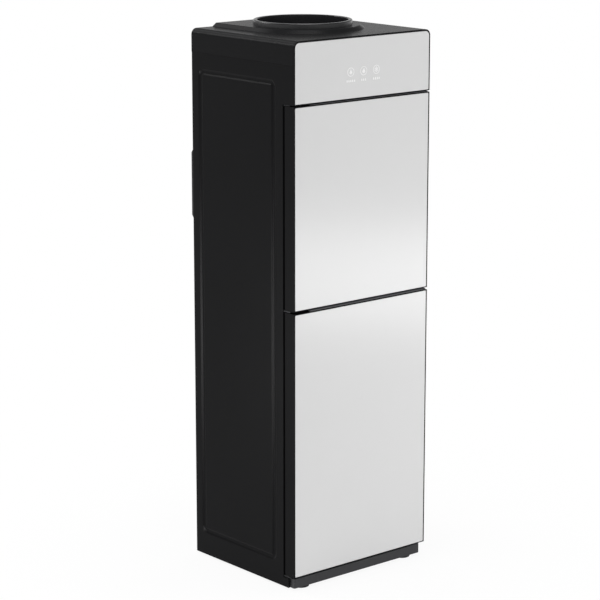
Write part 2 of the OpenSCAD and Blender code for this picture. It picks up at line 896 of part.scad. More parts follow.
module heater_band() {
    z = hot_z0 + hot_h * 0.4;
    place() color("#d9b36c") difference() {
        rod_z(hot_r + band_t, 0, hot_y, z - 20, z + 20);
        rod_z(hot_r + 0.1, 0, hot_y, z - 21, z + 21);
    }
}

module thermostats() {
    place() color("#2c2c2e") for (s = [-1, 1])
        rod_z(8, s * 20, hot_y, hot_z1, hot_z1 + 5);
}

module hot_insulation() {
    place() color("#e6e3d9") difference() {
        rod_z(hot_ins_r, 0, hot_y, hot_ins_z0, deck_z0);
        rod_z(hot_hollow_r, 0, hot_y, hot_z0, hot_z1 + 6);
        rod_z(hose_r + 0.6, 0, hot_y, hot_ins_z0 - 1, deck_z0 + 1);
        rod_x(hose_r + 0.6, hot_y, tap_z, -hot_ins_r - 1, 0);
    }
}

module water_hoses() {
    run_y = back_y - 16;
    under = hot_z0 - 28;
    place() color("#dfe3e4") {
        hose([[-cold_drain_x, cold_drain_y, cold_z0], [-cold_drain_x, cold_drain_y, tap_z],
            [tap_x, shank_end + 5, tap_z], [tap_x, shank_end, tap_z]], hose_r);
        hose([[0, hot_y, cold_z0], [0, hot_y, hot_z1]], hose_r);
        hose([[-hot_r, hot_y, tap_z], [-tap_x, hot_y, tap_z], [-tap_x, shank_end, tap_z]],
            hose_r);
        hose([[0, hot_y, hot_z0], [0, hot_y, under - 10], [hot_drain_x, run_y, under - 60],
            [hot_drain_x, run_y, drain_z], [hot_drain_x, back_y - 4, drain_z]], hose_r);
        hose([[cold_drain_x, cold_drain_y, cold_z0], [cold_drain_x, cold_drain_y, under],
            [outer_drain_x, run_y, under - 50], [outer_drain_x, run_y, drain_z],
            [outer_drain_x, back_y - 4, drain_z]], hose_r);
    }
}

module bottle_seat() {
    wall = cover_t;
    place() color("#343437") difference() {
        translate([0, collar_y, 0]) rotate_extrude() polygon([
            [0, well_z0 - wall], [well_r + wall, well_z0 - wall],
            [well_r + wall, funnel_z0 - wall / 2], [seat_neck_r, bore_z0 - wall / 2],
            [seat_neck_r, raise_z], [collar_r, raise_z], [collar_r, rim_z - 1],
            [collar_r - 1, rim_z], [collar_bore_r, rim_z], [collar_bore_r, bore_z0],
            [well_r, funnel_z0], [well_r, well_z0], [0, well_z0]
        ]);
        for (a = [45:90:315]) translate([0, collar_y, well_z0 + 6]) rotate([0, 90, a])
            cylinder(r = water_hole_r, h = well_r + wall + 5);
    }
}

module seat_probe() {
    top = funnel_z0 + 12;
    place() translate([0, collar_y, 0]) color("#e9ebec") difference() {
        rotate_extrude() polygon([
            [0, well_z0], [22, well_z0], [22, well_z0 + 2.5], [probe_r, well_z0 + 6],
            [probe_r, top], [probe_r - 4, top + 6], [0, top + 6]
        ]);
        translate([0, 0, well_z0 - 1]) cylinder(r = probe_r - 3, h = top - well_z0);
        for (a = [0, 90]) rotate([0, 0, a])
            block([-probe_r - 1, -2.5, well_z0 + 10], [probe_r + 1, 2.5, top - 4]);
    }
}

// Cooling system

module compressor() {
    dome = 34;
    shell = 14;
    r = comp_r;
    z1 = comp_z0 + comp_h;
    plate = comp_z0 - 3;
    place() color("#1d1d1f") {
        difference() {
            translate([0, comp_y, 0]) rotate_extrude() polygon(concat(
                [[0, comp_z0], [r - 8, comp_z0], [r, comp_z0 + 8], [r, z1 - dome]],
                [for (a = [15:15:90]) [r * cos(a), z1 - dome + dome * sin(a)]]
            ));
            rod_z(r - shell, 0, comp_y, comp_z0 + shell, z1 - dome);
        }
        block([-comp_foot_x - 9, comp_y - comp_foot_y - 9, plate],
            [comp_foot_x + 9, comp_y + comp_foot_y + 9, comp_z0 + 0.5]);
        block([r - 6, comp_y - 16, comp_z0 + 40], [r + 20, comp_y + 16, comp_z0 + 84]);
    }
}

comp_foot_x = 58;
comp_foot_y = 36;

module compressor_mounts() {
    place() color("#4a4a4c") for (s = [-1, 1], t = [-1, 1])
        rod_z(8, s * comp_foot_x, comp_y + t * comp_foot_y, pan_top, comp_z0 - 3);
}

module condenser_coil() {
    half = cond_run / 2;
    place() color("#262628") {
        for (i = [0:cond_runs - 1])
            rod_x(cond_r, cond_y, cond_low + i * cond_pitch, -half, half);
        for (i = [0:cond_runs - 2])
            translate([0, cond_y, cond_low + (i + 0.5) * cond_pitch])
                condenser_bend(i % 2 == 0 ? 1 : -1, half);
        hose([[-half, cond_y, cond_low], [-half - 14, cond_y, cond_low],
            [-half - 14, cond_y, feed_z - 10], [feed_x, cond_y, feed_z - 10],
            [feed_x, cond_y, feed_z], [feed_x, back_y - 5, feed_z]], cond_r);
    }
}

// Half ring that joins two runs on side s
module condenser_bend(s, half) {
    reach = cond_bend + cond_r + 1;
    translate([s * half, 0, 0]) intersection() {
        rotate([90, 0, 0]) rotate_extrude() translate([cond_bend, 0]) circle(cond_r);
        block([min(0, s * reach), -reach, -reach], [max(0, s * reach), reach, reach]);
    }
}

module condenser_wires() {
    pitch = 12;
    count = 8;
    off = cond_r + wire_r + 0.1;
    place() color("#2e2e30") for (i = [-count:count], s = [-1, 1])
        rod_z(wire_r, i * pitch, cond_y + s * off, cond_low - 8, cond_high + 8);
}

module filter_dryer() {
    r = 9;
    z = comp_z0 + comp_h + 70;
    place() translate([comp_r + 42, back_y - r - 0.2, z]) color("#b87333") rotate_extrude()
        polygon([[0, 0], [3, 0], [3, 14], [r, 24], [r, 84], [3, 94], [3, 108], [0, 108]]);
}

module control_board() {
    x1 = half_w - 15;
    x0 = x1 - 78;
    z0 = switch_z - 42;
    z1 = switch_z + 48;
    y = back_y - 12;
    place() color("#2f6b3c") {
        block([x0, y - 1.6, z0], [x1, y, z1]);
        for (x = [x0 + 5, x1 - 5], z = [z0 + 5, z1 - 5]) rod_y(3, x, z, y, back_y);
        block([x0 + 10, y - 22, z0 + 12], [x0 + 38, y - 1.6, z0 + 40]);
        block([x1 - 30, y - 16, z1 - 36], [x1 - 8, y - 1.6, z1 - 10]);
    }
}

// Back

module service_cover() {
    z0 = cover_low;
    z1 = cover_low + cover_h;
    half = half_w - 4;
    in_x = inner_x - 11;
    back = depth_all;
    place() color("#2f2f32") {
        difference() {
            union() {
                difference() {
                    union() {
                        along_x(-half, half) polygon([
                            [body_d, z0], [back, z0 + cover_slope],
                            [back, z1 - cover_slope], [body_d, z1]
                        ]);
                        wide(in_x, back_face, body_d + 0.1, z0 + 3, z1 - 3);
                    }
                    wide(in_x - cover_t, back_face - 1, body_d - 2, z0 + 6, z1 - 6);
                    wide(in_x - cover_t, back_face - 1, back - cover_t,
                        z0 + cover_slope + 4, z1 - cover_slope - 4);
                }
                switch_pocket(back - pocket_d - cover_t, back, cover_t);
                for (x = switch_xs()) switch_socket(x);
            }
            switch_pocket(back - pocket_d, back + 1, 0);
            for (x = switch_xs()) socket_hollow(x);
        }
    }
}

// Recess of the switches from y0 to y1, grown by extra
module switch_pocket(y0, y1, extra) {
    x = pocket_w / 2 + extra;
    z = pocket_h / 2 + extra;
    block([switch_x - x, y0, switch_z - z], [switch_x + x, y1, switch_z + z]);
}

function switch_xs() = [switch_x - switch_pitch / 2, switch_x + switch_pitch / 2];

module socket_hollow(x) {
    half = rocker_w / 2 + 0.4;
    end = rocker_h / 2 + rocker_fit + 1;
    block([x - half, rocker_y - 9, switch_z - end], [x + half, depth_all + 1, switch_z + end]);
    rod_x(1.5 + pin_fit, rocker_y, switch_z, x - half - 1.6, x + half + 1.6);
}

module switch_socket(x) {
    half = rocker_w / 2 + 3;
    end = rocker_h / 2 + 4;
    block([x - half, rocker_y - 11, switch_z - end],
        [x + half, depth_all - pocket_d - cover_t + 0.1, switch_z + end]);
}

module rocker(x) {
    half = rocker_h / 2;
    translate([x, rocker_y, switch_z]) rotate([rocker_tilt, 0, 0]) {
        along_x(-rocker_w / 2, rocker_w / 2) polygon([
            [-5, 4 - half], [-5, half - 4], [1, half], [4.6, half], [2.4, 0], [4.6, -half],
            [1, -half]
        ]);
        rod_x(1.5, 0, 0, -rocker_w / 2 - 1.8, rocker_w / 2 + 1.8);
    }
}

module hot_switch() { place() color("#b3262a") rocker(switch_xs()[0]); }

module cold_switch() { place() color("#2a6f3a") rocker(switch_xs()[1]); }

module cord_gland() {
    place() color("#1c1c1e") difference() {
        union() {
            rod_y(gland_r, gland_x, gland_z, back_y - 6, back_face + 8);
            rod_y(gland_r + 3, gland_x, gland_z, back_face, back_face + 3);
            rod_y(gland_r + 3, gland_x, gland_z, back_y - 3, back_y);
        }
        rod_y(cord_bore_r, gland_x, gland_z, back_y - 7, back_face + 9);
    }
}

module drain_spouts() {
    place() color("#e2e4e5") for (x = [hot_drain_x, outer_drain_x]) difference() {
        union() {
            rod_y(hose_r, x, drain_z, back_y - 4, back_face + drain_len);
            rod_y(hose_r + 4, x, drain_z, back_face, back_face + 2.5);
        }
        rod_y(hose_r - 1.5, x, drain_z, back_y - 5, back_face + drain_len + 1);
    }
}

module drain_cap(x) {
    mouth = back_face + 4;
    difference() {
        rod_y(hose_r + 2.5, x, drain_z, mouth, back_face + drain_len + 3);
        rod_y(hose_r + pin_fit, x, drain_z, mouth - 1, back_face + drain_len + 0.3);
    }
}

module hot_drain_cap() { place() color("#a8282c") drain_cap(hot_drain_x); }

module cold_drain_cap() { place() color("#2458b3") drain_cap(outer_drain_x); }

base_pan();
feet();
plinth();
left_side_panel();
right_side_panel();
back_panel();
top_cover();
bottle_seat();
seat_probe();
fascia_frame();
fascia_glass();
light_pipes();
light_board();
upper_door_frame();
upper_door_glass();
upper_door_back();
upper_door_seal();
lower_door_frame();
lower_door_glass();
lower_door_back();
lower_door_seal();
top_hinge();
middle_hinge();
bottom_hinge();
door_magnets();
tap_bay_liner();
hot_tap_body();
hot_tap_lever();
hot_tap_lock();
cold_tap_body();
cold_tap_lever();
tap_pins();
drip_tray();
drip_grille();
lower_liner();
wire_shelf();
tank_deck();
cold_tank();
baffle_plate();
evaporator_coil();
cold_insulation();
hot_tank();
heater_band();
thermostats();
hot_insulation();
water_hoses();
compressor();
compressor_mounts();
condenser_coil();
condenser_wires();
filter_dryer();
control_board();
service_cover();
hot_switch();
cold_switch();
cord_gland();
drain_spouts();
hot_drain_cap();
cold_drain_cap();
rear_screws();
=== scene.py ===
import math
import bpy
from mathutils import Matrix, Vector


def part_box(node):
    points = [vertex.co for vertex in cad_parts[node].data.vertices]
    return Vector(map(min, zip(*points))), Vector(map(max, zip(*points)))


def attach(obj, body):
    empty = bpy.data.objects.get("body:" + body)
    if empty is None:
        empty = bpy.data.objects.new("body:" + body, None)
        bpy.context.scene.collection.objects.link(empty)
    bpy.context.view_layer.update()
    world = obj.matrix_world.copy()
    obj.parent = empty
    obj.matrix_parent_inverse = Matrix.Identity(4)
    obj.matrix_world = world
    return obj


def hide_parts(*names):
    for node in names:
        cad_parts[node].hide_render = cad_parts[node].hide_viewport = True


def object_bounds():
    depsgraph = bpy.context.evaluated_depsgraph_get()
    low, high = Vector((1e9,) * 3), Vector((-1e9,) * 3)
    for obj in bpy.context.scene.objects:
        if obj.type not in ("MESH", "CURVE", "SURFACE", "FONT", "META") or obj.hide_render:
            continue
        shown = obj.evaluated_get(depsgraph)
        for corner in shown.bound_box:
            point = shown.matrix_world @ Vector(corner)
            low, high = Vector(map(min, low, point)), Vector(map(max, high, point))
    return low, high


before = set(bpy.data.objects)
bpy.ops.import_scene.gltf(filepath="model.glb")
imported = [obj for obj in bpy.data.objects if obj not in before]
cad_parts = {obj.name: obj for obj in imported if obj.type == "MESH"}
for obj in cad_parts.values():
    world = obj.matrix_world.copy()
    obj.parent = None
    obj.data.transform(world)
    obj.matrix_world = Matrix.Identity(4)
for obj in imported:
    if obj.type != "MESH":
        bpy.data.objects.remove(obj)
cad_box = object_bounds()
scene = bpy.context.scene
scene.view_settings.view_transform = "Standard"

# Camera: a long lens at the front left corner, a little above the middle of the dispenser.
# It sees both doors, the left side panel and a sliver of the top with its bottle collar.
view_turn = math.radians(-40.361)
view_rise = math.radians(12.929)
view_distance = 3.918
view_aim = Vector((-0.0826, -0.0729, 0.5019))
towards_camera = Vector((
    math.sin(view_turn) * math.cos(view_rise),
    -math.cos(view_turn) * math.cos(view_rise),
    math.sin(view_rise),
))
bpy.ops.object.camera_add(location=view_aim + towards_camera * view_distance)
camera = bpy.context.object
camera.rotation_euler = towards_camera.to_track_quat("Z", "Y").to_euler()
camera.data.sensor_width = 36
camera.data.lens = 135.08
camera.data.clip_end = 100
scene.camera = camera

# Studio: white seamless paper under an even sky. Soft boxes hang over the top, at the left and
# high behind it. One low at each side draws out the beads, one low in front streaks the glass.


def linear(code):
    """An sRGB hex colour as linear red, green, blue and alpha."""
    parts = [int(code[i:i + 2], 16) / 255 for i in (1, 3, 5)]
    return tuple(c / 12.92 if c <= 0.04045 else ((c + 0.055) / 1.055) ** 2.4 for c in parts) + (1,)


def add_node(tree, kind, settings=None, links=None):
    """Adds a node, sets its properties and sockets, and links its inputs to other outputs."""
    node = tree.nodes.new(kind)
    for name, value in (settings or {}).items():
        if isinstance(name, str) and hasattr(node, name):
            setattr(node, name, value)
        else:
            node.inputs[name].default_value = value
    for name, output in (links or {}).items():
        tree.links.new(output, node.inputs[name])
    return node


sky_light = 0.70
overhead_gloss = 0.30
horizon_rise = math.radians(1)
overhead_rise = math.radians(15)
world = bpy.data.worlds.new("studio_sky")
world.use_nodes = True
tree = world.node_tree
tree.nodes.clear()
path = add_node(tree, "ShaderNodeLightPath")
direction = add_node(tree, "ShaderNodeTexCoord")
height = add_node(tree, "ShaderNodeSeparateXYZ", None, {0: direction.outputs["Generated"]})
mirrored = add_node(tree, "ShaderNodeMapRange", {
    "interpolation_type": "SMOOTHSTEP", "From Min": math.sin(horizon_rise),
    "From Max": math.sin(overhead_rise), "To Min": 1.0, "To Max": overhead_gloss,
}, {"Value": height.outputs["Z"]})
in_gloss = add_node(tree, "ShaderNodeMath", {"operation": "MAXIMUM"},
    {0: path.outputs["Is Glossy Ray"], 1: path.outputs["Is Transmission Ray"]})
unseen = add_node(tree, "ShaderNodeMix", {"data_type": "FLOAT", 2: sky_light},
    {0: in_gloss.outputs[0], 3: mirrored.outputs[0]})
strength = add_node(tree, "ShaderNodeMix", {"data_type": "FLOAT", 3: 1.0},
    {0: path.outputs["Is Camera Ray"], 2: unseen.outputs[0]})
sky = add_node(tree, "ShaderNodeBackground", {"Color": linear("#ffffff")},
    {"Strength": strength.outputs[0]})
add_node(tree, "ShaderNodeOutputWorld", None, {"Surface": sky.outputs[0]})
scene.world = world

shadow_near = 0.3
shadow_far = 1.0
shadow_glow = 0.92
bpy.ops.object.select_all(action="DESELECT")
bpy.ops.mesh.primitive_plane_add(size=60)
floor = bpy.context.object
floor.name = "studio_floor"
paper = bpy.data.materials.new("white seamless paper")
paper.use_nodes = True
tree = paper.node_tree
tree.nodes.clear()
place = add_node(tree, "ShaderNodeTexCoord")
away = add_node(tree, "ShaderNodeVectorMath", {"operation": "LENGTH"}, {0: place.outputs["Object"]})
fade = add_node(tree, "ShaderNodeMapRange", {
    "interpolation_type": "SMOOTHSTEP", "From Min": shadow_near, "From Max": shadow_far,
    "To Min": shadow_glow,
}, {"Value": away.outputs["Value"]})
path = add_node(tree, "ShaderNodeLightPath")
seen = add_node(tree, "ShaderNodeMath", {"operation": "MAXIMUM"},
    {0: path.outputs["Is Camera Ray"], 1: path.outputs["Is Glossy Ray"]})
seen = add_node(tree, "ShaderNodeMath", {"operation": "MAXIMUM"},
    {0: seen.outputs[0], 1: path.outputs["Is Transmission Ray"]})
share = add_node(tree, "ShaderNodeMath", {"operation": "MULTIPLY"},
    {0: fade.outputs[0], 1: seen.outputs[0]})
matt = add_node(tree, "ShaderNodeBsdfDiffuse", {"Color": linear("#fafafa")})
glow = add_node(tree, "ShaderNodeEmission", {"Color": linear("#ffffff"), "Strength": 1.0})
mixed = add_node(tree, "ShaderNodeMixShader", None,
    {0: share.outputs[0], 1: matt.outputs[0], 2: glow.outputs[0]})
add_node(tree, "ShaderNodeOutputMaterial", None, {"Surface": mixed.outputs[0]})
floor.data.materials.append(paper)


def soft_box(name, place, aim, width, height, power, mirrored=True, lights=True):
    """A soft box at place that faces aim. It can be left out of mirrors or light nothing matt."""
    bpy.ops.object.light_add(type="AREA", location=place)
    lamp = bpy.context.object
    lamp.name = name
    lamp.data.shape = "RECTANGLE"
    lamp.data.size = width
    lamp.data.size_y = height
    lamp.data.energy = power
    lamp.visible_camera = False
    lamp.visible_glossy = mirrored
    lamp.visible_diffuse = lights
    lamp.rotation_euler = (Vector(place) - Vector(aim)).to_track_quat("Z", "Y").to_euler()


soft_box("top_box", (0, -0.15, 2.5), (0, -0.15, 0.9), 1.0, 1.0, 14)
soft_box("left_box", (-2.2, 0.6, 1.6), (0, 0, 0.7), 1.2, 1.2, 2, mirrored=False)
soft_box("rim_box", (-0.3, 1.8, 2.5), (0, 0, 0.95), 1.2, 1.2, 9)
soft_box("edge_box", (-1.26, 1.78, 2.05), (-0.15, 0, 0.9), 0.6, 0.6, 10)
soft_box("left_bead_box", (-1.1, 0.15, 0.2), (-0.15, 0.1, 0.2), 0.8, 0.34, 16, lights=False)
soft_box("right_bead_box", (1.1, 0.15, 0.2), (0.15, 0.1, 0.2), 0.8, 0.34, 16, lights=False)
soft_box("glass_box", (0.81, -1.03, 0.28), (0.05, -0.14, 0.55), 0.8, 0.22, 2.4)

# Helpers for every piece: its finish, its faces, its rounded edges and its place in the frame.
cloud_grains = 60
gloss_drift = 0.08
bevel_angle = math.radians(35)
smooth_angle = math.radians(36)


def surface(name, colour, roughness, grain_mm, depth_mm, drift, stretch=(1, 1, 1),
        cells=False, **sockets):
    """A finish whose colour and gloss drift over broad clouds, with a grain of its own size and
    depth. The grain is soft noise, or rounded cells for beads, grit and crystals. Grain that is
    finer than half a millimetre in life is drawn about that coarse, so that it shows."""
    material = bpy.data.materials.new(name)
    material.use_nodes = True
    tree = material.node_tree
    shader = tree.nodes["Principled BSDF"]
    for socket, value in sockets.items():
        shader.inputs[socket.replace("_", " ")].default_value = value
    place = add_node(tree, "ShaderNodeTexCoord")
    drawn = add_node(tree, "ShaderNodeMapping", {"Scale": stretch}, {"Vector": place.outputs["Object"]})
    clouds = add_node(tree, "ShaderNodeTexNoise", {
        "Scale": 1000 / (cloud_grains * grain_mm), "Detail": 3.0,
    }, {"Vector": drawn.outputs[0]})
    if cells:
        grain = add_node(tree, "ShaderNodeTexVoronoi", {"Scale": 1000 / grain_mm},
            {"Vector": drawn.outputs[0]})
        shade = add_node(tree, "ShaderNodeMath", {"operation": "ADD", "use_clamp": True},
            {0: clouds.outputs["Fac"], 1: grain.outputs["Distance"]}).outputs[0]
        relief = grain.outputs["Distance"]
    else:
        grain = add_node(tree, "ShaderNodeTexNoise", {"Scale": 1000 / grain_mm, "Detail": 2.0},
            {"Vector": drawn.outputs[0]})
        shade = clouds.outputs["Fac"]
        relief = grain.outputs["Fac"]
    tone = linear(colour)
    low = tuple(c * (1 - drift) for c in tone[:3]) + (1,)
    high = tuple(min(1, c * (1 + drift)) for c in tone[:3]) + (1,)
    tint = add_node(tree, "ShaderNodeMix", {"data_type": "RGBA", 6: low, 7: high}, {0: shade})
    tree.links.new(tint.outputs[2], shader.inputs["Base Color"])
    gloss = add_node(tree, "ShaderNodeMapRange", {
        "To Min": roughness * (1 - gloss_drift), "To Max": min(1, roughness * (1 + gloss_drift)),
    }, {"Value": shade})
    tree.links.new(gloss.outputs[0], shader.inputs["Roughness"])
    bump = add_node(tree, "ShaderNodeBump",
        {"Strength": 1.0, "Distance": -depth_mm / 1000 if cells else depth_mm / 1000},
        {"Height": relief})
    tree.links.new(bump.outputs[0], shader.inputs["Normal"])
    return material


def choose(*pieces):
    """Selects these pieces and no others. The first one becomes the active one."""
    bpy.ops.object.select_all(action="DESELECT")
    for piece in pieces:
        piece.select_set(True)
    bpy.context.view_layer.objects.active = pieces[0]


def select_faces(piece, wanted):
    """Opens a piece in edit mode with only those faces selected for which wanted is true."""
    choose(piece)
    bpy.context.tool_settings.mesh_select_mode = (False, False, True)
    bpy.ops.object.mode_set(mode="EDIT")
    bpy.ops.mesh.select_all(action="DESELECT")
    bpy.ops.object.mode_set(mode="OBJECT")
    for face in piece.data.polygons:
        face.select = wanted(face)
    bpy.ops.object.mode_set(mode="EDIT")


def formed_sheet(name, columns, rows, shape, spare, outward):
    """A grid whose crossings lie at shape(column, row), in millimetres, less its spare faces.
    It faces outward: outward gives that direction for a face's middle."""
    bpy.ops.object.select_all(action="DESELECT")
    bpy.ops.mesh.primitive_grid_add(
        x_subdivisions=len(columns) - 1, y_subdivisions=len(rows) - 1, size=1)
    piece = bpy.context.object
    piece.name = name
    for index, vertex in enumerate(piece.data.vertices):
        row, column = divmod(index, len(columns))
        vertex.co = Vector(shape(columns[column], rows[row])) / 1000
    select_faces(piece, lambda face: spare(*(face.center * 1000)))
    bpy.ops.mesh.delete(type="FACE")
    bpy.ops.mesh.select_all(action="SELECT")
    bpy.ops.object.mode_set(mode="OBJECT")
    facing = sum(face.area * face.normal.dot(outward(face.center)) for face in piece.data.polygons)
    if facing < 0:
        bpy.ops.object.mode_set(mode="EDIT")
        bpy.ops.mesh.flip_normals()
        bpy.ops.object.mode_set(mode="OBJECT")
    return piece


def apply(piece, kind, **settings):
    """Adds a modifier of that kind with its settings and applies it."""
    choose(piece)
    change = piece.modifiers.new(kind.lower(), kind)
    for name, value in settings.items():
        setattr(change, name, value)
    bpy.ops.object.modifier_apply(modifier=change.name)


def round_edges(piece, width_mm, segments=2):
    """Rounds the sharp edges of a piece and shades it so that its flat faces stay flat."""
    if width_mm:
        apply(piece, "BEVEL", width=width_mm / 1000, segments=segments, limit_method="ANGLE",
            angle_limit=bevel_angle)
    choose(piece)
    bpy.ops.object.shade_smooth_by_angle(angle=smooth_angle)
    apply(piece, "WEIGHTED_NORMAL", keep_sharp=True)


def fit(piece, body, material, slot, *nodes):
    """Hangs a finished piece on its body, in its material, in place of the nodes that it dresses."""
    piece.data.materials.clear()
    piece.data.materials.append(material)
    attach(piece, body)
    if nodes:
        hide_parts(*nodes)
    return piece


# Side panels: 1.2 mm steel sheet folded at the back and the toe, with a bead pressed in against
# drumming. Black polyester powder, sprayed and baked, leaves a satin skin with orange peel.
powder_coat = surface("black polyester powder coat", "#181819", 0.32, 1.6, 0.008, 0.05,
    Specular_IOR_Level=0.03)
glass_face = cad_box[0][1] * 1000
door_deep = 29.8
toe_deep = 16
sheet_mm = 1.2
fold_r = 1.5
back_fold = 8.5
toe_fold = 3.6
front_fold = 8.0
bead_depth = 2.0
bead_band = 12.0
bead_bend = 14.0
bead_wall = 4.6
bead_front = 48.5
bead_rear = 18
bead_foot = 44.5
bead_head = 26.5
slot_half = 2
fold_gap = 3
near = 0.01
panel_low, panel_high = (corner * 1000 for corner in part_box("left_side_panel"))
toe_y = glass_face + toe_deep
door_y = glass_face + door_deep
fold_y = panel_high.y - fold_r
plinth_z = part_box("plinth")[1].z * 1000
pan_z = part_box("base_pan")[1].z * 1000
fascia_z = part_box("fascia_frame")[0].z * 1000
bead_y = (glass_face + bead_front, panel_high.y - bead_rear)
bead_z = (bead_foot, panel_high.z - bead_head)


def bead_lines(start, end):
    """Grid lines across the two runs of the bead that lie between start and end."""
    steps = (0, 1, 2, 3, 4, 4.8, 6, 7.2, 8, 9, 10, 11, 12, 14)
    return [start + step for step in steps] + [end - step for step in steps]


def bead_press(y, z):
    """Depth of the bead at a point of the panel, from its distance to the bead's middle line."""
    bend = bead_bend - bead_band / 2
    out_y = abs(y - sum(bead_y) / 2) - (bead_y[1] - bead_y[0]) / 2 + bead_bend
    out_z = abs(z - sum(bead_z) / 2) - (bead_z[1] - bead_z[0]) / 2 + bead_bend
    off = math.hypot(max(out_y, 0), max(out_z, 0)) + min(max(out_y, out_z), 0) - bend
    fall = min(1, max(0, (bead_band / 2 - abs(off)) / bead_wall))
    return bead_depth * fall * fall * (3 - 2 * fall)


def panel_point(side, y, z):
    """Place of a point of the blank after folding, with y measured along the sheet."""
    if z <= plinth_z and y < toe_y:
        return (side * (panel_high_x - (toe_y - y)), toe_y, z)
    if fold_z[0] <= z <= fold_z[1] and door_y - front_fold - near < y < door_y:
        return (side * (panel_high_x - (door_y - y)), door_y, z)
    turn = min(max(0, y - fold_y) / fold_r, math.pi / 2)
    along = fold_y + fold_r * math.sin(turn) if turn else y
    tucked = fold_r * (1 - math.cos(turn)) + max(0, y - fold_y - fold_r * math.pi / 2)
    return (side * (panel_high_x - tucked - bead_press(y, z)), along, z)


panel_high_x = -panel_low.x
fold_z = (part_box("bottom_hinge")[0].z * 1000 + fold_gap, fascia_z - fold_gap)
hinge_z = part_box("middle_hinge")
hinge_z = (hinge_z[0].z + hinge_z[1].z) * 500
panel_columns = sorted({panel_low.y, toe_y - toe_fold, toe_y, door_y - front_fold, door_y, fold_y}
    | set(bead_lines(*bead_y))
    | {fold_y + fold_r * math.radians(turn) for turn in (30, 60, 90)}
    | {fold_y + fold_r * math.pi / 2 + back_fold - fold_r})
panel_rows = sorted({panel_low.z, pan_z, plinth_z, *fold_z, hinge_z - slot_half,
    hinge_z + slot_half, fascia_z, panel_high.z} | set(bead_lines(*bead_z)))


def panel_spare(x, y, z):
    """True where the blank is cut away: the door recess, the hinge's slot and the toe."""
    tucked = panel_high_x - abs(x)
    door_recess = plinth_z < z < fascia_z and y < door_y - near
    hinge_slot = abs(z - hinge_z) < slot_half and y < door_y + near and tucked > 0.1
    toe = z < plinth_z and (y > panel_high.y - 1 and tucked > 0.5 or tucked > toe_fold)
    return door_recess or hinge_slot or toe


for side, word in ((-1, "left"), (1, "right")):
    sheet = formed_sheet(word + "_side_sheet", panel_columns, panel_rows,
        lambda y, z: panel_point(side, y, z), panel_spare, lambda middle: Vector((side, 0, 0)))
    apply(sheet, "SOLIDIFY", thickness=sheet_mm / 1000, offset=-1, use_even_offset=True)
    round_edges(sheet, 0.4)
    fit(sheet, "cabinet", powder_coat, "painted_steel", word + "_side_panel")

weld = 0.00001
flat_angle = math.radians(0.5)


def from_cad(node, name, whole=True):
    """A new piece on the faces of a CAD node, joined up, with its flat faces whole or as cut."""
    piece = bpy.data.objects.new(name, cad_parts[node].data.copy())
    piece.data.materials.clear()
    scene.collection.objects.link(piece)
    choose(piece)
    bpy.ops.object.mode_set(mode="EDIT")
    bpy.ops.mesh.select_all(action="SELECT")
    bpy.ops.mesh.remove_doubles(threshold=weld)
    if whole:
        bpy.ops.mesh.dissolve_limited(angle_limit=flat_angle)
    bpy.ops.object.mode_set(mode="OBJECT")
    return piece


def dress(node, name, body, material, slot, width_mm, segments=2):
    """The usual case: the CAD node with its edges rounded, in its own material."""
    piece = from_cad(node, name)
    round_edges(piece, width_mm, segments)
    return fit(piece, body, material, slot, node)


# Base pan, plinth and feet: moulded black ABS under the cabinet, on four rubber pads.
# The plinth is satin, with its grain eroded deeper into the mould; its lighter shade is painted light.
satin_abs = surface("satin moulded black ABS", "#242426", 0.34, 1.2, 0.008, 0.05,
    Specular_IOR_Level=0.2)
# Painted light: the plinth is coloured lighter than the other black mouldings, for its lit front face.
plinth_abs_painted_light = surface("grained black ABS painted lighter for its lit face", "#3b3b3d", 0.5, 1.2, 0.02, 0.05,
    Specular_IOR_Level=0.2)
# The pads are dull, so they read a little greyer than the plinth.
pad_rubber = surface("moulded black rubber", "#2b2b2c", 0.75, 1.0, 0.02, 0.08,
    Specular_IOR_Level=0.3)
dress("base_pan", "base_tray", "cabinet", satin_abs, "satin_black_plastic", 0.6)
dress("plinth", "plinth_moulding", "cabinet", plinth_abs_painted_light, "satin_black_plastic", 0.6)
dress("feet", "foot_pads", "cabinet", pad_rubber, "black_rubber", 0.8)

# Top cover: one satin ABS moulding over the top and a hand's breadth down the sides. Its deck
# rises round the bottle collar, round in front of it and straight back to the rear edge.
# Its tool was polished, so the level deck mirrors the pale horizon.
cover_abs = surface("satin moulded black ABS, polished tool", "#1b1b1c", 0.27, 1.2, 0.006, 0.05,
    Specular_IOR_Level=0.03)
dress("top_cover", "top_moulding", "cabinet", cover_abs, "satin_black_plastic", 0.8, 3)

# Bottle seat: the lift-out ABS collar that carries the bottle's shoulder, turned here from its
# section: rounded rim, straight bore, funnel, and a well with four water holes.
wall = 2.5
bore_r = 80
rim_r = 87
bore_deep = 26
funnel_drop = 22
well_r = 32
water_hole_r = 3
water_hole_z = 6
rim_round = 2.2
bore_round = 1.5


def arc(r, z, radius, start, end, steps=5):
    """Points of an arc in a section, from angle start to angle end in degrees."""
    turns = [math.radians(start + (end - start) * step / steps) for step in range(steps + 1)]
    return [(r + radius * math.cos(turn), z + radius * math.sin(turn)) for turn in turns]


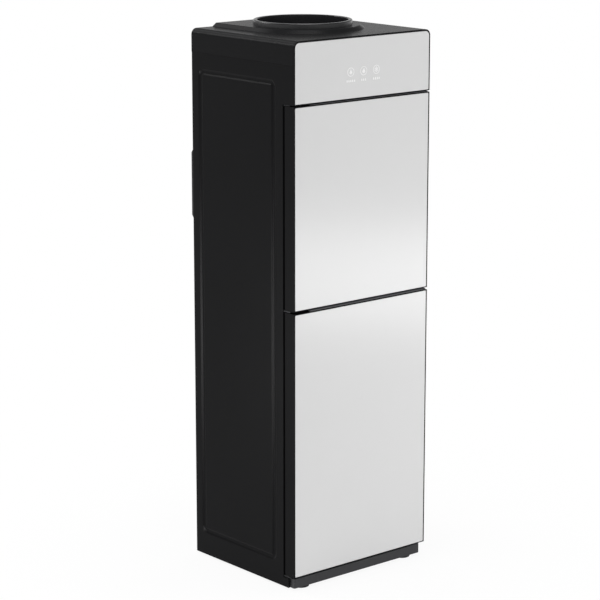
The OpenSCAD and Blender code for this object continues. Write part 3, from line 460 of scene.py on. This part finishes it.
def turned(name, centre, section, steps):
    """Spins a closed section of radii and heights, in millimetres, round an upright axis."""
    bpy.ops.object.select_all(action="DESELECT")
    bpy.ops.mesh.primitive_circle_add(vertices=len(section), fill_type="NOTHING")
    piece = bpy.context.object
    piece.name = name
    for vertex, (r, z) in zip(piece.data.vertices, section):
        vertex.co = Vector((centre[0] + r, centre[1], z)) / 1000
    bpy.ops.object.mode_set(mode="EDIT")
    bpy.ops.mesh.select_all(action="SELECT")
    bpy.ops.mesh.spin(steps=steps, angle=2 * math.pi, axis=(0, 0, 1),
        center=(centre[0] / 1000, centre[1] / 1000, 0))
    bpy.ops.mesh.select_all(action="SELECT")
    bpy.ops.mesh.remove_doubles(threshold=weld)
    bpy.ops.mesh.normals_make_consistent(inside=False)
    bpy.ops.object.mode_set(mode="OBJECT")
    return piece


def drill(piece, radius, start, end):
    """Cuts a round hole through a piece, from start to end in millimetres."""
    start, end = Vector(start) / 1000, Vector(end) / 1000
    bpy.ops.mesh.primitive_cylinder_add(vertices=24, radius=radius / 1000,
        depth=(end - start).length, location=(start + end) / 2,
        rotation=(end - start).to_track_quat("Z", "Y").to_euler())
    cutter = bpy.context.object
    apply(piece, "BOOLEAN", operation="DIFFERENCE", solver="EXACT", object=cutter)
    bpy.data.objects.remove(cutter)


seat_low, seat_high = (corner * 1000 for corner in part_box("bottle_seat"))
collar_y = (seat_low.y + seat_high.y) / 2
cover_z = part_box("top_cover")[1].z * 1000
rim_z = seat_high.z
bore_z = rim_z - bore_deep
funnel_z = bore_z - funnel_drop
well_z = seat_low.z + wall
seat = turned("collar_moulding", (0, collar_y), [
    (0, well_z - wall), (well_r + wall, well_z - wall),
    (well_r + wall, funnel_z - 1), (bore_r + wall, bore_z - 1),
    (bore_r + wall, cover_z), (rim_r, cover_z),
    *arc(rim_r - rim_round, rim_z - rim_round, rim_round, 0, 90),
    *arc(bore_r + bore_round, rim_z - bore_round, bore_round, 90, 180),
    (bore_r, bore_z + 2), *arc(bore_r - 3, bore_z + 1, 3, 0, -40, 3),
    (well_r + 1, funnel_z + 0.6), (well_r, funnel_z - 0.6), (well_r, well_z), (0, well_z),
], 128)
for turn in (45, 135):
    reach = Vector((math.cos(math.radians(turn)), math.sin(math.radians(turn)), 0))
    reach *= well_r + 2 * wall + 1
    hole = Vector((0, collar_y, well_z + water_hole_z))
    drill(seat, water_hole_r, hole - reach, hole + reach)
round_edges(seat, 0)
# The collar is glossier than the cover, which gives its rim a bright line.
seat_abs = surface("gloss moulded black ABS collar", "#1e1e20", 0.24, 1.2, 0.004, 0.05,
    Specular_IOR_Level=0.5)
fit(seat, "seat", seat_abs, "satin_black_plastic", "bottle_seat")
# The probe's white plastic has small clean highlights.
white_abs = surface("polished white ABS", "#e3e5e6", 0.22, 1.5, 0.004, 0.02)
dress("seat_probe", "bottle_probe", "seat", white_abs, "white_plastic", 0.5)

# Fascia: a gloss black frame that holds the control glass. Three lamps shine through symbols
# printed on it in white enamel: a drop, a flame and a snowflake, over plain marks.
# The frame has hardly any grain, so its edge beside the glass looks sharp. The silver paint
# lies behind the glass and looks even and pale, and the enamel lies matt on its face.
gloss_abs = surface("gloss moulded black ABS", "#181819", 0.26, 2.5, 0.004, 0.04,
    Specular_IOR_Level=0.03)
silver_glass = surface("silver back-painted tempered glass", "#dedede", 0.22, 40, 0.01, 0.004)
enamel = surface("white screen-printed enamel", "#fbfbfb", 0.4, 0.8, 0.004, 0.02)
print_mm = 0.1
dress("fascia_frame", "fascia_moulding", "cabinet", gloss_abs, "gloss_black_plastic", 0.3)


def pane(node, name, body):
    """A pane of glass: ground edges, and a face set back by the thickness of its print."""
    piece = from_cad(node, name)
    for vertex in piece.data.vertices:
        if vertex.co.y * 1000 < glass_face + 1:
            vertex.co.y += print_mm / 1000
    round_edges(piece, 0.6, 3)
    return fit(piece, body, silver_glass, "front_glass", node)


pane("fascia_glass", "fascia_pane", "cabinet")
ring_r = 7.6
ring_line = 0.9
lamp_pitch = 29.2
stroke_wide = 2.0
stroke_tall = 4.0
stroke_pitch = 4.2
stroke_drop = 15.2
symbol_drop = 0.8
drop_r = 3.0
drop_point = 0.75
flame_r = 3.2
flame_point = 0.7
flame_lean = 1.2
star_r = 5.0
star_arm = 0.42
lamps_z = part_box("light_pipes")
lamps_z = (lamps_z[0].z + lamps_z[1].z) * 500


def printed(middle, outline, right, up):
    """A patch of enamel with that outline, right and up from its middle, in millimetres."""
    bpy.ops.object.select_all(action="DESELECT")
    bpy.ops.mesh.primitive_circle_add(vertices=len(outline), fill_type="NGON")
    patch = bpy.context.object
    for vertex, (across, along) in zip(patch.data.vertices, outline):
        vertex.co = (middle + right * across + up * along) / 1000
    bpy.ops.object.mode_set(mode="EDIT")
    bpy.ops.mesh.select_all(action="SELECT")
    return patch


def raised(patch, outward):
    """The patch raised to a closed layer of enamel."""
    bpy.ops.mesh.extrude_region_move(
        TRANSFORM_OT_translate={"value": outward * print_mm / 1000})
    bpy.ops.mesh.select_all(action="SELECT")
    bpy.ops.mesh.normals_make_consistent(inside=False)
    bpy.ops.object.mode_set(mode="OBJECT")
    return patch


def printed_shape(middle, outline, right=Vector((1, 0, 0)), up=Vector((0, 0, 1))):
    """A filled shape of enamel."""
    return raised(printed(middle, outline, right, up), right.cross(up))


def printed_line(middle, outline, width, right=Vector((1, 0, 0)), up=Vector((0, 0, 1))):
    """A closed line of enamel along an outline."""
    patch = printed(middle, outline, right, up)
    bpy.ops.mesh.inset(thickness=width / 1000, use_even_offset=True)
    bpy.ops.mesh.delete(type="FACE")
    bpy.ops.mesh.select_all(action="SELECT")
    return raised(patch, right.cross(up))


def joined(pieces, name):
    """The pieces as one, under a new name."""
    choose(*pieces)
    bpy.ops.object.join()
    pieces[0].name = name
    return pieces[0]


def round_outline(radius, point=0.0, lean=0.0):
    """A circle drawn up to a point at its top, and leaning to one side there."""
    steps = 40
    outline = []
    for step in range(steps):
        turn = 2 * math.pi * step / steps
        lift = max(0, math.cos(turn)) ** 6
        narrow = 1 - 0.75 * max(0, math.cos(turn)) ** 1.5 * min(1, point)
        outline.append((radius * math.sin(turn) * narrow + lean * lift,
            radius * (math.cos(turn) + point * lift)))
    return outline


def star_outline(radius, width):
    """A snowflake: six arms, each with two short barbs."""
    outline = []
    for arm in range(6):
        turn = math.radians(60 * arm)
        for across, along in (
            (-width, 0.22), (-width, 0.5), (-0.28 * radius, 0.68), (-0.28 * radius, 0.84),
            (-width, 0.7), (-width, 1), (width, 1), (width, 0.7),
            (0.28 * radius, 0.84), (0.28 * radius, 0.68), (width, 0.5), (width, 0.22),
        ):
            out = along * radius
            outline.append((out * math.sin(turn) + across * math.cos(turn),
                out * math.cos(turn) - across * math.sin(turn)))
    return outline


def bar(width, height):
    """Outline of an upright bar with rounded corners."""
    round_r = min(width, height) * 0.3
    corners = ((1, 1, 90), (1, -1, 0), (-1, -1, -90), (-1, 1, -180))
    return [(
        side * (width / 2 - round_r) + round_r * math.cos(math.radians(turn - step)),
        end * (height / 2 - round_r) + round_r * math.sin(math.radians(turn - step)),
    ) for side, end, turn in corners for step in (0, 30, 60, 90)]


def on_glass(x, z):
    """A place on the fascia's glass."""
    return Vector((x, glass_face + print_mm, z))


prints = [printed_line(on_glass(x, lamps_z), round_outline(ring_r), ring_line)
    for x in (-lamp_pitch, 0, lamp_pitch)]
prints.append(printed_shape(on_glass(-lamp_pitch, lamps_z - symbol_drop),
    round_outline(drop_r, drop_point)))
prints.append(printed_shape(on_glass(0, lamps_z - symbol_drop),
    round_outline(flame_r, flame_point, flame_lean)))
prints.append(printed_shape(on_glass(lamp_pitch, lamps_z), star_outline(star_r, star_arm)))
for x, strokes in ((-lamp_pitch, 5), (0, 3), (lamp_pitch, 4)):
    for step in range(strokes):
        stroke = on_glass(x + (step - (strokes - 1) / 2) * stroke_pitch, lamps_z - stroke_drop)
        prints.append(printed_shape(stroke, bar(stroke_wide, stroke_tall)))
symbols = joined(prints, "fascia_symbols")
fit(symbols, "cabinet", enamel, "front_glass")
# The rods are clear with a faint milkiness, and the board's mask is glossy over the weave.
acrylic = surface("clear acrylic rod", "#f2f5f6", 0.08, 3.0, 0.002, 0.01, Transmission_Weight=0.6)
mask_green = surface("green solder mask on glass fibre", "#1f5c33", 0.3, 0.9, 0.02, 0.12, cells=True)
dress("light_pipes", "lamp_rods", "cabinet", acrylic, "clear_plastic", 0.3)
dress("light_board", "lamp_board", "cabinet", mask_green, "green_plastic", 0.2)

# Doors: a hollow ABS moulding faced with the same silver glass, a light inner skin, and a soft
# PVC gasket that holds to the magnets beside the bays. Steel hinge pins run in its ends.
# The inner skin has the soft sheen of formed sheet, and the gasket is dull. The plated steel is
# mottled, dark where it is passivated and a cold grey where it is bright.
liner_abs = surface("smooth light grey ABS", "#cfd2d4", 0.35, 2.0, 0.006, 0.02)
seal_pvc = surface("soft grey PVC seal", "#a9acae", 0.6, 1.5, 0.01, 0.04)
black_zinc = surface("black passivated zinc plate", "#2c2c2f", 0.45, 0.8, 0.01, 0.08,
    Specular_IOR_Level=0.15)
zinc_plate = surface("bright zinc plated steel", "#b4b7ba", 0.32, 0.8, 0.01, 0.08, Metallic=1.0)
ferrite = surface("ground ferrite magnet", "#4b4c4f", 0.55, 0.6, 0.01, 0.1, cells=True)
for place in ("upper", "lower"):
    body = place + "_door"
    dress(body + "_frame", body + "_moulding", body, gloss_abs, "gloss_black_plastic", 0.4)
    pane(body + "_glass", body + "_pane", body)
    dress(body + "_back", body + "_inner_skin", body, liner_abs, "liner_plastic", 0.8)
    dress(body + "_seal", body + "_gasket", body, seal_pvc, "seal_rubber", 1.0)
# A strip of sponge rubber on each door's top edge closes most of the gap above it.
strip_left = -117.5
strip_long = 270
strip_set = 2
strip_share = 0.6
# Painted light: the strip's pale grey stands in for light in the shaded gap above each door.
strip_foam_painted_light = surface("sponge rubber strip painted pale for light in the gap", "#6c6c6e", 0.9, 1.0, 0.05, 0.1, cells=True,
    Specular_IOR_Level=0.05)
strip_section = [(0, 0), (0, 0.62), (0.35, 0.84), (1.1, 0.96), (2.5, 1), (3.9, 0.96), (4.65, 0.84),
    (5, 0.62), (5, 0)]
for body, under, over in (("upper_door", "upper_door_frame", "fascia_frame"),
        ("lower_door", "lower_door_frame", "upper_door_frame")):
    low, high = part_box(under)[1].z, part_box(over)[0].z
    tall = (high - low) * strip_share
    bpy.ops.object.select_all(action="DESELECT")
    bpy.ops.mesh.primitive_circle_add(vertices=len(strip_section), fill_type="NGON")
    strip = bpy.context.object
    strip.name = body + "_buffer_strip"
    for vertex, (across, up) in zip(strip.data.vertices, strip_section):
        place_y = (glass_face + strip_set + across) / 1000
        vertex.co = Vector((strip_left / 1000, place_y, low + tall * up))
    bpy.ops.object.mode_set(mode="EDIT")
    bpy.ops.mesh.select_all(action="SELECT")
    bpy.ops.mesh.extrude_region_move(
        TRANSFORM_OT_translate={"value": (strip_long / 1000, 0, 0)})
    bpy.ops.mesh.select_all(action="SELECT")
    bpy.ops.mesh.normals_make_consistent(inside=False)
    bpy.ops.object.mode_set(mode="OBJECT")
    round_edges(strip, 0.2)
    fit(strip, body, strip_foam_painted_light, "seal_rubber")
for place in ("top", "middle", "bottom"):
    dress(place + "_hinge", place + "_hinge_bracket", "cabinet", black_zinc, "zinc_steel", 0.25)
dress("door_magnets", "magnet_strips", "cabinet", ferrite, "magnet", 0.3)

# Tap bay: a vacuum-formed ABS liner with a drip tray on its floor under a steel grille.
# The grille was punched from brushed sheet, so its grain runs along the slots' row.
brushed_steel = surface("brushed stainless steel sheet", "#c3c5c7", 0.28, 0.5, 0.006, 0.08,
    (0.03, 1, 1), Metallic=1.0, Anisotropic=0.5)
flange_gap = 0.5


def liner(node, name):
    """A liner whose flange ends at the folds of the side panels, with soft moulded corners."""
    piece = from_cad(node, name, whole=False)
    flange_x = (panel_high_x - front_fold - flange_gap) / 1000
    for side in (-1, 1):
        select_faces(piece, lambda face: True)
        bpy.ops.mesh.bisect(plane_co=(side * flange_x, 0, 0), plane_no=(side, 0, 0),
            use_fill=True, clear_outer=True)
        bpy.ops.object.mode_set(mode="OBJECT")
    round_edges(piece, 1.2, 3)
    fit(piece, "cabinet", liner_abs, "liner_plastic", node)


# The tray's grain is coarse enough to hide water spots, so it looks flat.
tray_abs = surface("grained black ABS tray", "#28282a", 0.45, 1.0, 0.02, 0.05,
    Specular_IOR_Level=0.3)
liner("tap_bay_liner", "tap_bay_shell")
dress("drip_tray", "drip_tray_moulding", "tray", tray_abs, "satin_black_plastic", 0.8)
dress("drip_grille", "drip_grille_plate", "grille", brushed_steel, "stainless_steel", 0.3)

# Taps: white ABS bodies with a sprung silicone valve inside. The red lever is for hot water and
# has a white child lock, the blue one is for cold. Each turns on a steel pin.
# Both levers are dyed through and polished: full colour with small hard highlights.
red_abs = surface("polished red ABS", "#b3161c", 0.2, 1.5, 0.003, 0.03)
blue_abs = surface("polished blue ABS", "#1c4fb0", 0.2, 1.5, 0.003, 0.03)
drawn_steel = surface("drawn stainless rod", "#c9cbcd", 0.25, 0.4, 0.004, 0.06, (1, 1, 0.04),
    Metallic=1.0)
for water, colour in (("hot", red_abs), ("cold", blue_abs)):
    shade = "red_plastic" if water == "hot" else "blue_plastic"
    dress(water + "_tap_body", water + "_tap_moulding", "cabinet", white_abs, "white_plastic", 0.7, 3)
    dress(water + "_tap_lever", water + "_tap_paddle", water + "_lever", colour, shade, 0.8, 3)
    dress(water + "_drain_cap", water + "_drain_plug", water + "_cap", colour, shade, 0.6)
dress("hot_tap_lock", "child_lock_button", "hot_lock", white_abs, "white_plastic", 0.6)
dress("tap_pins", "lever_pins", "cabinet", drawn_steel, "stainless_steel", 0.2)

# Lower cabinet: the same ABS liner with a rail on each side for a shelf of welded wire.
liner("lower_liner", "cabinet_shell")
dress("wire_shelf", "wire_rack", "shelf", drawn_steel, "stainless_steel", 0)

# Back: an ABS sheet with air slots, screwed to the folds of the side panels, with the black
# condenser in front of it. The bulging service cover holds the heating and cooling switches.
# Dipped enamel leaves a shiny skin on each tube and wire of the condenser.
enamelled = surface("black enamelled steel tube", "#2c2c2e", 0.3, 1.2, 0.01, 0.06)
green_abs = surface("polished green ABS", "#1e6b35", 0.2, 1.5, 0.003, 0.03)
gland_rubber = surface("moulded black PVC gland", "#222224", 0.6, 0.8, 0.02, 0.06,
    Specular_IOR_Level=0.3)
dress("back_panel", "back_sheet", "cabinet", satin_abs, "satin_black_plastic", 0.3)
dress("service_cover", "service_cover_moulding", "cabinet", satin_abs, "satin_black_plastic", 0.8)
# A rocker's two halves are its largest faces towards the rear. The lower half is for off.
ring_mark_r = 1.8
ring_mark_line = 0.5
bar_mark = bar(0.6, 3.6)
leftward = Vector((-1, 0, 0))
for water, body, colour, shade in (("hot", "hot_rocker", red_abs, "red_plastic"),
        ("cold", "cold_rocker", green_abs, "green_plastic")):
    rocker = dress(water + "_switch", water + "_rocker_cap", body, colour, shade, 0.5)
    halves = sorted((face for face in rocker.data.polygons if face.normal.y > 0.7),
        key=lambda face: -face.area)[:2]
    halves = sorted((face.center.z, face.center * 1000, face.normal.copy()) for face in halves)
    off, on = [(middle, normal.cross(leftward)) for height, middle, normal in halves]
    marks = joined([
        printed_line(off[0], round_outline(ring_mark_r), ring_mark_line, leftward, off[1]),
        printed_shape(on[0], bar_mark, leftward, on[1]),
    ], water + "_rocker_marks")
    fit(marks, body, enamel, "white_plastic")
dress("condenser_coil", "condenser_tube", "cabinet", enamelled, "painted_steel", 0)
dress("condenser_wires", "condenser_grid", "cabinet", enamelled, "painted_steel", 0)
# The screws come apart so that two bars can cut a cross recess into each head.
recess_long = 3.4
recess_wide = 0.9
recess_deep = 0.8
screws = from_cad("rear_screws", "back_screw")
bpy.ops.object.mode_set(mode="EDIT")
bpy.ops.mesh.separate(type="LOOSE")
bpy.ops.object.mode_set(mode="OBJECT")
screws = list(bpy.context.selected_objects)
for screw in screws:
    corners = [Vector(corner) for corner in screw.bound_box]
    middle = sum(corners, Vector()) / 8
    head_y = max(corner.y for corner in corners)
    for wide, tall in ((recess_long, recess_wide), (recess_wide, recess_long)):
        bpy.ops.mesh.primitive_cube_add(size=1, location=(middle.x, head_y, middle.z),
            scale=(wide / 1000, 2 * recess_deep / 1000, tall / 1000))
        cross = bpy.context.object
        apply(screw, "BOOLEAN", operation="DIFFERENCE", solver="EXACT", object=cross)
        bpy.data.objects.remove(cross)
screws = joined(screws, "back_screw_set")
round_edges(screws, 0)
fit(screws, "cabinet", zinc_plate, "zinc_steel", "rear_screws")
dress("cord_gland", "cord_inlet", "cabinet", gland_rubber, "black_rubber", 0.4)
dress("drain_spouts", "drain_pipes", "cabinet", white_abs, "white_plastic", 0.4)

# Works inside, seen only through the slots or with the cover off: tanks of brushed steel in
# foam, copper evaporator and dryer, compressor on rubber mounts, hoses and the control board.
# Copper and steel are the only bright things here. Foam and galvanised sheet show their cells,
# the hoses are milky, and the resin and the mounts are dull.
copper = surface("drawn copper tube", "#b87333", 0.3, 1.0, 0.01, 0.12, Metallic=1.0)
foam = surface("moulded bead foam", "#ecebe4", 0.85, 4.0, 0.25, 0.05, cells=True)
galvanised = surface("galvanised steel sheet", "#a5a8aa", 0.42, 7.0, 0.01, 0.14, cells=True,
    Metallic=1.0)
mount_rubber = surface("soft black rubber mount", "#262628", 0.8, 1.0, 0.03, 0.08,
    Specular_IOR_Level=0.3)
silicone = surface("milky silicone tube", "#dfe3e4", 0.35, 2.0, 0.005, 0.03,
    Transmission_Weight=0.35)
natural_plate = surface("natural polypropylene plate", "#e9eaea", 0.45, 2.0, 0.006, 0.03)
compressor_paint = surface("black baked enamel", "#1b1b1d", 0.3, 2.0, 0.01, 0.06,
    Specular_IOR_Level=0.3)
thermostat_resin = surface("moulded phenolic resin", "#2a2524", 0.5, 0.9, 0.02, 0.1, cells=True)
works = {
    "tank_deck": galvanised, "cold_tank": brushed_steel, "hot_tank": brushed_steel,
    "baffle_plate": natural_plate, "evaporator_coil": copper, "cold_insulation": foam,
    "hot_insulation": foam, "heater_band": copper, "thermostats": thermostat_resin,
    "water_hoses": silicone, "compressor": compressor_paint, "compressor_mounts": mount_rubber,
    "filter_dryer": copper, "control_board": mask_green,
}
for node, material in works.items():
    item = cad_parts[node]
    item.data.materials.clear()
    item.data.materials.append(material)
